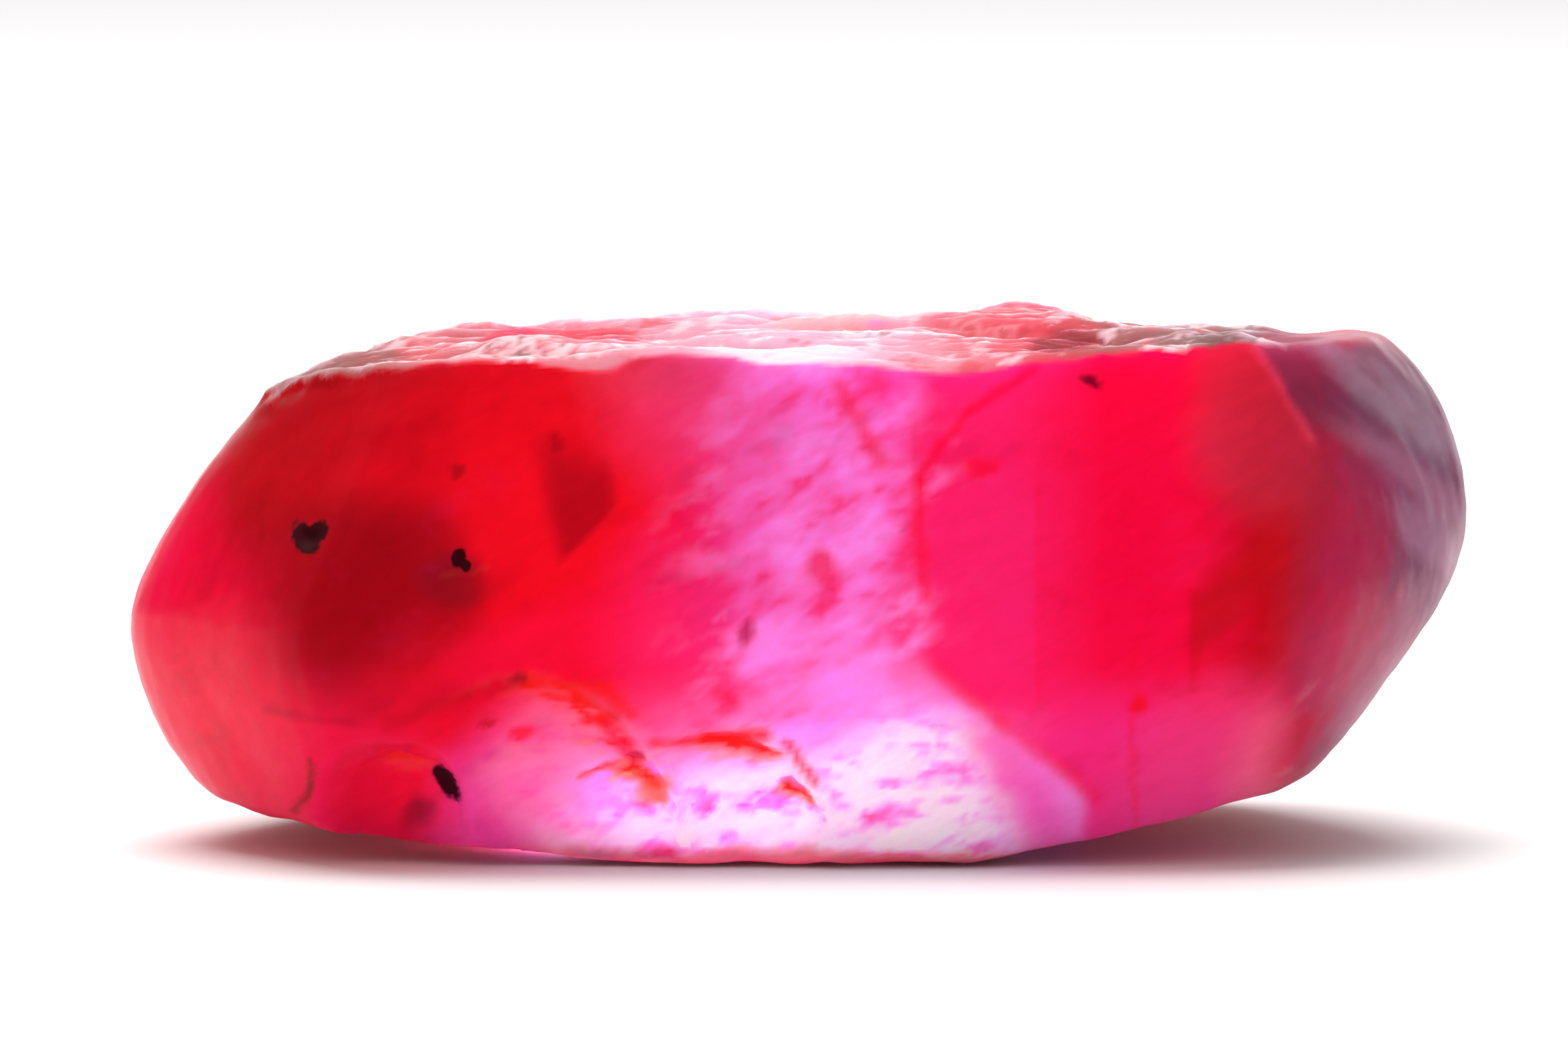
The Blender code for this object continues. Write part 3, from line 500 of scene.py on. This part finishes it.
def rubyMaterial():
    # ruby, corundum: broken and water-worn, so it shows a silky sheen over deep colour, whose pale glow in
    # the middle and base is partly painted
    material = bpy.data.materials.new("wornRubyCorundum")
    material.use_nodes = True
    material.node_tree.nodes.clear()
    add = partial(addNode, material.node_tree)

    where = add("ShaderNodeTexCoord").outputs["Object"]
    place = add("ShaderNodeVectorMath", where, operation="SCALE", links={"Scale": 1 / mm})
    colour = add("ShaderNodeAttribute", attribute_name="growthColour").outputs["Color"]
    kinds = add("ShaderNodeAttribute", attribute_name="faceKinds").outputs["Vector"]
    silk = add("ShaderNodeAttribute", attribute_name="silkNoise").outputs["Fac"]
    top, skin, chip = add("ShaderNodeSeparateXYZ", kinds).outputs

    # slanting fibres make the colour a little lighter and darker
    fibre = lumps(add, place, *ruby["fibre"])
    level = add("ShaderNodeMapRange", fibre, 0.25, 0.75, 1 - ruby["fibreDepth"], 1 + ruby["fibreDepth"])
    colour = add("ShaderNodeVectorMath", colour, operation="SCALE", links={"Scale": level})
    grit = lumps(add, place, ruby["gritSize"], 1.0)
    ragged = add("ShaderNodeMapRange", grit, 0.2, 0.8, -ruby["grainWear"], ruby["grainWear"])
    grain = 0.0
    for shape in ruby["grains"]:
        spot = cloud(add, place, *shape, ruby["grainSoftness"], ruby["grainStrength"], ragged)
        grain = add("ShaderNodeMath", grain, spot, operation="MAXIMUM")
    coal = toLinear(ruby["tones"]["coal"])
    colour = add("ShaderNodeMix", grain, links={6: colour, 7: coal}, data_type="RGBA")

    # the milkier the colour, the less light goes straight through
    green = add("ShaderNodeSeparateColor", colour).outputs["Green"]
    clear = add("ShaderNodeMapRange", green, 0.0, 0.5, ruby["clear"], ruby["milky"])
    for mask, left in ((top, ruby["topClear"]), (skin, ruby["skinClear"]), (grain, 0.0)):
        share = add("ShaderNodeMapRange", mask, 0.0, 1.0, 1.0, left)
        clear = add("ShaderNodeMath", clear, share, operation="MULTIPLY")
    for shape in ruby["hazes"]:
        left = add("ShaderNodeMath", 1.0, cloud(add, place, *shape), operation="SUBTRACT")
        clear = add("ShaderNodeMath", clear, left, operation="MULTIPLY")
    smoothest, roughest = ruby["worn"] - ruby["silkSway"], ruby["worn"] + ruby["silkSway"]
    roughness = add("ShaderNodeMapRange", silk, 0.3, 0.7, smoothest, roughest)
    for mask, kind in ((chip, "fresh"), (skin, "skin"), (top, "broken"), (grain, "broken")):
        roughness = add("ShaderNodeMix", mask, links={2: roughness, 3: ruby[kind]}, data_type="FLOAT")

    # fine grit, too small for the mesh
    shallow = ruby["gritShare"] * ruby["gritDepth"]
    depth = add("ShaderNodeMapRange", top, 0.0, 1.0, shallow, ruby["gritDepth"])
    height = add("ShaderNodeMath", grit, depth, operation="MULTIPLY")
    bump = add("ShaderNodeBump", links={"Height": height, "Distance": mm})

    shader = add("ShaderNodeBsdfPrincipled", links={
        "Base Color": colour, "IOR": ruby["ior"], "Roughness": roughness, "Normal": bump,
        "Transmission Weight": clear, "Specular Tint": toLinear(ruby["mirrorTint"]),
        "Specular IOR Level": ruby["mirror"],
        "Subsurface Weight": 1.0, "Subsurface Radius": ruby["scatter"], "Subsurface Scale": mm,
    })
    add("ShaderNodeOutputMaterial", shader)
    return material


# The close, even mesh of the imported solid
closeness = {
    "merge": 0.001,  # points nearer than this are one
    "spacing": 0.155,  # distance between the mesh's points
    "smoothing": 4,  # rounds that soften the solid's facets
}

# The relief on each kind of face
surface = {
    "fractureDepth": 0.30,  # lumps of the broken top
    "fractureSize": 1.9,
    "ridgeDepth": 0.22,  # sharp ridges between them
    "ridgeSize": 1.9,
    "wallDepth": 0.07,  # slow waviness of the worn sides
    "wallSize": 2.6,
    "striaDepth": 0.022,  # fine growth lines along the sides
    "striaSize": 0.45,
    "combDepth": 0.06,  # combed lines that follow the curve of the greyed end
    "combSize": 0.55,
    "rippleDepth": 0.05,  # shell-like ripples inside the chips
    "rippleSize": 1.1,
    "driftSize": 3.2,  # slow wander of the colour zones
    "tremorSize": 0.8,  # quick wander of veins and rims
    "driftDetail": 4.0,
    "driftRoughness": 0.55,
    "wispSize": 0.95,  # slanting milky threads
    "mottleSize": 2.2,  # soft patches of deeper red, and of a duller skin
    "blotchSize": 0.6,  # lumps of the milky base, and how ragged the painted shadows under the hollows' rims are
    "crumbSize": 0.7,  # lumps, veins and cracks of the broken top
    "evenShare": 0.3,  # how much of the broken top's relief is left along its front edge
    "seed": 3.0,
    # each noise field's detail, turn and squeeze
    "fields": {
        "fracture": (6.0, (0, 0, 0), (0.6, 1, 1)),
        "ridge": (3.0, (0, 0, 0.2), (0.4, 1, 1)),
        "wall": (3.0, (0, 0, 0), (1, 1, 1)),
        "stria": (3.0, (0, 0.12, 0), (0.12, 0.3, 1)),
        "ripple": (3.0, (0, 0.3, 0), (0.35, 0.35, 1.2)),
        "wisp": (5.0, (0, 0.48, 0), (0.55, 0.7, 1.15)),
        "mottle": (5.0, (0, 0.3, 0), (0.6, 1, 1)),
        "blotch": (5.0, (0, 0, 0.2), (0.45, 1.0, 1)),
        "crumb": (5.0, (0, 0, 0.2), (0.7, 0.25, 1)),
    },
    "ridgeShape": (0.0, 0.16, 0.6, -0.4),  # a ridge's noise at its line and beside it, and its height there
    # where a face starts and fully is of a kind: the broken top by how far it faces up, by z and by x;
    # the greyed end by x and by how far it faces up; its outermost part by how far it faces along X;
    # a chip by its distance from its ball; the even front edge of the top, by y; the rest face, by z
    "topTilt": (0.50, 0.80),
    "topLevel": (10.5, 11.5),
    "topEnd": (12.6, 11.4),
    "endStart": (11.8, 13.6),
    "endTilt": (0.85, 0.6),
    "endFacing": (0.45, 0.95),
    "chipReach": (0.5, 0.12),
    "evenEdge": (-4.8, -7.0),
    "restLift": (0.02, 0.3),
    # the balls that the chips fit: x, y, z, radius
    "chips": [
        (-6.6, -15.2, -1.1, 8.75),
        (-1.8, -11.5, 0.3, 4.6),
        (-4.4, -9.7, 0.3, 2.95),
        (-0.3, -9.0, 0.5, 1.95),
        (-10.4, -9.0, 0.6, 2.95),
        (5.2, 13.9, 1.0, 6.9),
        (9.6, 11.1, -0.3, 3.7),
        (-8.2, 11.6, 13.6, 5.2),
        (13.6, 8.2, 11.9, 3.1),
    ],
    # shallow hollows above the front chips: centre (x, z), half sizes, the rim's lean to the right in
    # degrees, how much of the hollow its painted shadow takes, how strong the peach below it is, depth
    # under the rim
    "hollows": [
        (-6.9, 1.0, 3.3, 3.9, 26, 0.12, 0.15, 0.20),
        (-2.1, 1.3, 2.2, 2.2, 18, 0.14, 0.6, 0.28),
        (-4.5, 0.9, 1.4, 1.8, 30, 0.15, 0.8, 0.28),
        (-0.3, 1.1, 0.9, 1.1, 20, 0.18, 0.6, 0.24),
        (-10.0, 1.1, 1.5, 1.8, 10, 0.12, 0.15, 0.16),
    ],
    # the round end that the combed lines follow: centre and half sizes; how fast they change outwards,
    # which is about once a millimetre, and along y and z; and their detail
    "endCentre": (7.2, 0.0, 7.6),
    "endSize": (9.0, 12.0, 7.4),
    "combPace": (9.0, 0.22, 0.12),
    "combDetail": 4.0,
}

# What the front hollows share
hollow = {
    "y": -8.0,  # where they lie, and how far they reach in
    "halfY": 6.0,
    "edge": (1.06, 0.96),  # in shares of the half sizes
    "wear": 0.8,  # how ragged the lower edge of their painted shadow is
    "rim": 1.4,  # height of the rim, with that fray
    "capEdge": (1.3, 0.6),  # how far below the rim the painted shadow ends and is full, in shares of its reach
    "rust": 0.95,  # strength of the painted shadow, and how much further down the peach goes
    "peachReach": 1.8,
    "slope": (-0.3, 0.9),  # where they start to sink, and are deepest, from the middle to the rim
}


def closeMesh():
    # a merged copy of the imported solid, remeshed so that its points lie evenly
    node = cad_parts["ruby_crystal"]
    data = bpy.data.meshes.new("rubyStone")
    merged = bmesh.new()
    merged.from_mesh(node.data)
    bmesh.ops.remove_doubles(merged, verts=merged.verts, dist=closeness["merge"] * mm)
    merged.to_mesh(data)
    merged.free()
    stone = linkToScene(bpy.data.objects.new("rubyStone", data))
    remesh = stone.modifiers.new("close mesh", "REMESH")
    remesh.mode = "VOXEL"
    remesh.voxel_size = closeness["spacing"] * mm
    smooth = stone.modifiers.new("soften facets", "SMOOTH")
    smooth.iterations = closeness["smoothing"]
    applyModifiers(stone)
    return stone


def endReach(add, place):
    # 1 on the curve of the greyed end, less inside it
    away = add("ShaderNodeVectorMath", place, surface["endCentre"], operation="SUBTRACT")
    scaled = add("ShaderNodeVectorMath", away, surface["endSize"], operation="DIVIDE")
    return add("ShaderNodeVectorMath", scaled, operation="LENGTH")


def weatherTree():
    # Geometry Nodes: offsets each point along its normal by the kind of face that it lies on, and keeps
    # those kinds and the colour zones as attributes for the material
    tree = bpy.data.node_groups.new("weatherCrystal", "GeometryNodeTree")
    add = partial(addNode, tree)
    sockets = tree.interface
    sockets.new_socket("Geometry", in_out="INPUT", socket_type="NodeSocketGeometry")
    for name, value in surface.items():
        if isinstance(value, float):
            sockets.new_socket(name, in_out="INPUT", socket_type="NodeSocketFloat")
    sockets.new_socket("material", in_out="INPUT", socket_type="NodeSocketMaterial")
    sockets.new_socket("Geometry", in_out="OUTPUT", socket_type="NodeSocketGeometry")
    given = add("NodeGroupInput").outputs

    position = add("GeometryNodeInputPosition")
    place = add("ShaderNodeVectorMath", position, links={"Scale": 1 / mm}, operation="SCALE")
    normal = add("GeometryNodeInputNormal")
    x, y, z = add("ShaderNodeSeparateXYZ", place).outputs
    along, _, up = add("ShaderNodeSeparateXYZ", normal).outputs

    # where each kind of face is
    tilt = add("ShaderNodeMath", up, operation="ABSOLUTE")
    reached = {}
    for name, value in (("topTilt", up), ("topLevel", z), ("topEnd", x), ("endStart", x), ("endTilt", tilt),
                        ("endFacing", along)):
        reached[name] = add("ShaderNodeMapRange", value, *surface[name], interpolation_type="SMOOTHSTEP")
    top = add("ShaderNodeMath", reached["topLevel"], reached["topEnd"], operation="MULTIPLY")
    top = add("ShaderNodeMath", top, reached["topTilt"], operation="MULTIPLY")
    end = add("ShaderNodeMath", reached["endStart"], reached["endTilt"], operation="MULTIPLY")
    chip = 0.0
    for *centre, radius in surface["chips"]:
        apart = add("ShaderNodeVectorMath", place, centre, operation="DISTANCE")
        off = add("ShaderNodeMath", apart, radius, operation="SUBTRACT")
        off = add("ShaderNodeMath", off, operation="ABSOLUTE")
        near = add("ShaderNodeMapRange", off, *surface["chipReach"], interpolation_type="SMOOTHSTEP")
        chip = add("ShaderNodeMath", chip, near, operation="MAXIMUM")

    # the noise fields, and the same from -1 to 1 for those that move the surface
    noise = {name: lumps(add, place, given[name + "Size"], *field, given["seed"])
             for name, field in surface["fields"].items()}
    outwards = add("ShaderNodeCombineXYZ", endReach(add, place), y, z)
    combed = add("ShaderNodeVectorMath", outwards, surface["combPace"], operation="MULTIPLY")
    noise["comb"] = lumps(add, combed, given["combSize"], given["combDetail"], seed=given["seed"])
    swing = {name: add("ShaderNodeMapRange", noise[name], 0.0, 1.0, -1.0, 1.0)
             for name in ("fracture", "wall", "stria", "comb", "ripple")}

    # the broken top: lumps between sharp ridges that run mostly along the crystal
    crease = add("ShaderNodeMath", noise["ridge"], 0.5, operation="SUBTRACT")
    crease = add("ShaderNodeMath", crease, operation="ABSOLUTE")
    crease = add("ShaderNodeMapRange", crease, *surface["ridgeShape"])
    broken = add("ShaderNodeMath", swing["fracture"], given["fractureDepth"], operation="MULTIPLY")
    broken = add("ShaderNodeMath", crease, given["ridgeDepth"], broken, operation="MULTIPLY_ADD")

    # the worn sides: slow waves under fine growth lines, and a combed skin on the greyed end
    worn = add("ShaderNodeMath", swing["wall"], given["wallDepth"], operation="MULTIPLY")
    worn = add("ShaderNodeMath", swing["stria"], given["striaDepth"], worn, operation="MULTIPLY_ADD")
    combDepth = add("ShaderNodeMath", end, given["combDepth"], operation="MULTIPLY")
    worn = add("ShaderNodeMath", swing["comb"], combDepth, worn, operation="MULTIPLY_ADD")

    # the colour, and the hollows that it goes with
    drifts = []
    for size in ("driftSize", "tremorSize"):
        stray = add("ShaderNodeTexNoise", noise_dimensions="4D", links={
            "Vector": place, "W": given["seed"], "Detail": given["driftDetail"],
            "Roughness": given["driftRoughness"],
            "Scale": add("ShaderNodeMath", 1.0, given[size], operation="DIVIDE")}).outputs["Color"]
        drifts.append(add("ShaderNodeVectorMath", stray, (0.5, 0.5, 0.5), operation="SUBTRACT"))
    colour, skin, dent = paint(add, place, drifts, noise, top, reached["endFacing"], broken)

    # all of it together; chips have soft shells that bend with the noise, and the rest face stays flat
    inward = add("ShaderNodeMapRange", y, *surface["evenEdge"], 1.0, given["evenShare"])
    broken = add("ShaderNodeMath", broken, inward, operation="MULTIPLY")
    total = add("ShaderNodeMath", broken, top, worn, operation="MULTIPLY_ADD")
    shellDepth = add("ShaderNodeMath", chip, given["rippleDepth"], operation="MULTIPLY")
    total = add("ShaderNodeMath", swing["ripple"], shellDepth, total, operation="MULTIPLY_ADD")
    total = add("ShaderNodeMath", total, dent, operation="SUBTRACT")
    lifted = add("ShaderNodeMapRange", z, *surface["restLift"])
    total = add("ShaderNodeMath", total, lifted, operation="MULTIPLY")
    shift = add("ShaderNodeVectorMath", normal, operation="SCALE",
                links={"Scale": add("ShaderNodeMath", total, mm, operation="MULTIPLY")})
    kept = add("GeometryNodeSetPosition", given["Geometry"], links={"Offset": shift})
    kinds = add("ShaderNodeCombineXYZ", top, skin, chip)
    for name, value, kind in (
        ("growthColour", colour, "FLOAT_COLOR"),
        ("faceKinds", kinds, "FLOAT_VECTOR"),
        ("silkNoise", noise["mottle"], "FLOAT"),
    ):
        kept = add("GeometryNodeStoreNamedAttribute", kept, links={"Name": name, "Value": value},
                   data_type=kind, domain="POINT")
    real = add("GeometryNodeRealizeInstances", kept)
    dressed = add("GeometryNodeSetMaterial", real, links={"Material": given["material"]})
    add("NodeGroupOutput", dressed)
    return tree


def weather(stone, material):
    modifier = stone.modifiers.new("weather", "NODES")
    modifier.node_group = weatherTree()
    for item in modifier.node_group.interface.items_tree:
        if item.in_out == "INPUT" and item.name in surface:
            modifier[item.identifier] = surface[item.name]
        elif item.in_out == "INPUT" and item.name == "material":
            modifier[item.identifier] = material
    stone.data.update()
    applyModifiers(stone)
    stone.data.shade_smooth()


# The studio: a pale floor, a white surround that is brightest behind and above, and a light plate under
# the crystal that it hides
studio = {
    "floorSize": 1200.0,
    "floorDrop": 0.03,  # gap that keeps the floor clear of the rest face
    "floor": "#f4f2f2",
    "floorRoughness": 0.9,
    "floorMirror": 0.1,
    "surround": 2.6,  # brightness behind, then in front
    "frontSurround": 1.15,
    "sideSurround": 0.04,  # share that is left at the sides, so that the round ends mirror little white
    "highSurround": 0.45,  # and above, for the broken top
    # where along a direction's y, x or z each of these changes: front to back, towards the sides, where
    # the sides start behind, and upwards
    "backEdge": (-0.7, 0.35),
    "sideEdge": (0.22, 0.62),
    "sideStart": (-0.35, 0.05),
    "highEdge": (-0.02, 0.16),
    "plateRadii": (6.0, 4.5),
    "plateX": -1.5,
    "plateCorners": 48,
    "plateStrength": 16.0,
    "plateColour": "#f8ecff",
    "keySize": 300.0,
    "keyPower": 1.4,  # watts
    "keyPlace": (-40.0, 85.0, 320.0),
}


def emptyMaterial(name):
    material = bpy.data.materials.new(name)
    material.use_nodes = True
    material.node_tree.nodes.clear()
    return material, material.node_tree


def flatSheet(name, outline, height, material):
    data = bpy.data.meshes.new(name)
    data.from_pydata([Vector((x, y, height)) * mm for x, y in outline], [], [range(len(outline))])
    data.materials.append(material)
    sheet = linkToScene(bpy.data.objects.new(name, data))
    return sheet


def makeStudio():
    # painted board: matt, so it only takes the crystal's shadow and glow
    material, tree = emptyMaterial("paleMattBoard")
    shader = addNode(tree, "ShaderNodeBsdfPrincipled", links={
        "Base Color": toLinear(studio["floor"]), "Roughness": studio["floorRoughness"],
        "Specular IOR Level": studio["floorMirror"]})
    addNode(tree, "ShaderNodeOutputMaterial", shader)
    far = studio["floorSize"] / 2
    flatSheet("floor", [(-far, -far), (far, -far), (far, far), (-far, far)], -studio["floorDrop"], material)

    material, tree = emptyMaterial("lightPlate")
    glow = addNode(tree, "ShaderNodeEmission", toLinear(studio["plateColour"]), studio["plateStrength"])
    addNode(tree, "ShaderNodeOutputMaterial", glow)
    plateX, plateY = studio["plateRadii"]
    turns = [step * math.tau / studio["plateCorners"] for step in range(studio["plateCorners"])]
    rim = [(studio["plateX"] + plateX * math.cos(turn), plateY * math.sin(turn)) for turn in turns]
    flatSheet("lightPlate", rim, -studio["floorDrop"] / 2, material)

    world = bpy.data.worlds.new("studioWorld")
    bpy.context.scene.world = world
    world.use_nodes = True
    tree = world.node_tree
    tree.nodes.clear()
    facing = addNode(tree, "ShaderNodeTexCoord")
    x, y, z = addNode(tree, "ShaderNodeSeparateXYZ", facing.outputs["Generated"]).outputs
    level = addNode(tree, "ShaderNodeMapRange", y, *studio["backEdge"], studio["frontSurround"],
                    studio["surround"], interpolation_type="SMOOTHSTEP")
    aside = addNode(tree, "ShaderNodeMath", x, operation="ABSOLUTE")
    flags = addNode(tree, "ShaderNodeMapRange", aside, *studio["sideEdge"], 1.0, studio["sideSurround"],
                    interpolation_type="SMOOTHSTEP")
    behind = addNode(tree, "ShaderNodeMapRange", y, *studio["sideStart"], interpolation_type="SMOOTHSTEP")
    flags = addNode(tree, "ShaderNodeMix", behind, links={2: 1.0, 3: flags}, data_type="FLOAT")
    above = addNode(tree, "ShaderNodeMapRange", z, *studio["highEdge"], 1.0, studio["highSurround"],
                    interpolation_type="SMOOTHSTEP")
    shade = addNode(tree, "ShaderNodeMath", flags, above, operation="MULTIPLY")
    level = addNode(tree, "ShaderNodeMath", level, shade, operation="MULTIPLY")
    ray = addNode(tree, "ShaderNodeLightPath").outputs["Is Camera Ray"]
    seen = addNode(tree, "ShaderNodeMix", ray, links={2: level, 3: 1.0}, data_type="FLOAT")
    background = addNode(tree, "ShaderNodeBackground", (1, 1, 1, 1), seen)
    addNode(tree, "ShaderNodeOutputWorld", background)

    lamp = bpy.data.lights.new("softbox", "AREA")
    lamp.energy = studio["keyPower"]
    lamp.size = studio["keySize"] * mm
    softbox = linkToScene(bpy.data.objects.new("softbox", lamp))
    softbox.location = Vector(studio["keyPlace"]) * mm
    softbox.rotation_euler = (-softbox.location).to_track_quat("-Z", "Y").to_euler()


# The camera: a long lens, a little above the crystal
shot = {
    "distance": 400.0,
    "elevation": 5.5,  # degrees
    "lens": 360.0,
    "sensor": 36.0,
    "aim": (-0.39, 0.0, 8.02),  # the point at the middle of the frame
}


def makeCamera():
    data = bpy.data.cameras.new("camera")
    data.lens = shot["lens"]
    data.sensor_width = shot["sensor"]
    data.clip_start = 0.01
    data.clip_end = 10
    camera = linkToScene(bpy.data.objects.new("camera", data))
    lift = math.radians(shot["elevation"])
    back = Vector((0, -math.cos(lift), math.sin(lift)))
    camera.location = (Vector(shot["aim"]) + back * shot["distance"]) * mm
    camera.rotation_euler = Euler((math.pi / 2 - lift, 0, 0))
    bpy.context.scene.camera = camera


print("stage: camera and studio")
makeCamera()
makeStudio()
bpy.context.scene.view_settings.view_transform = "Standard"

print("stage: crystal")
stone = closeMesh()
weather(stone, rubyMaterial())
print("crystal faces:", len(stone.data.polygons))
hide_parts("ruby_crystal")
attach(stone, "root")
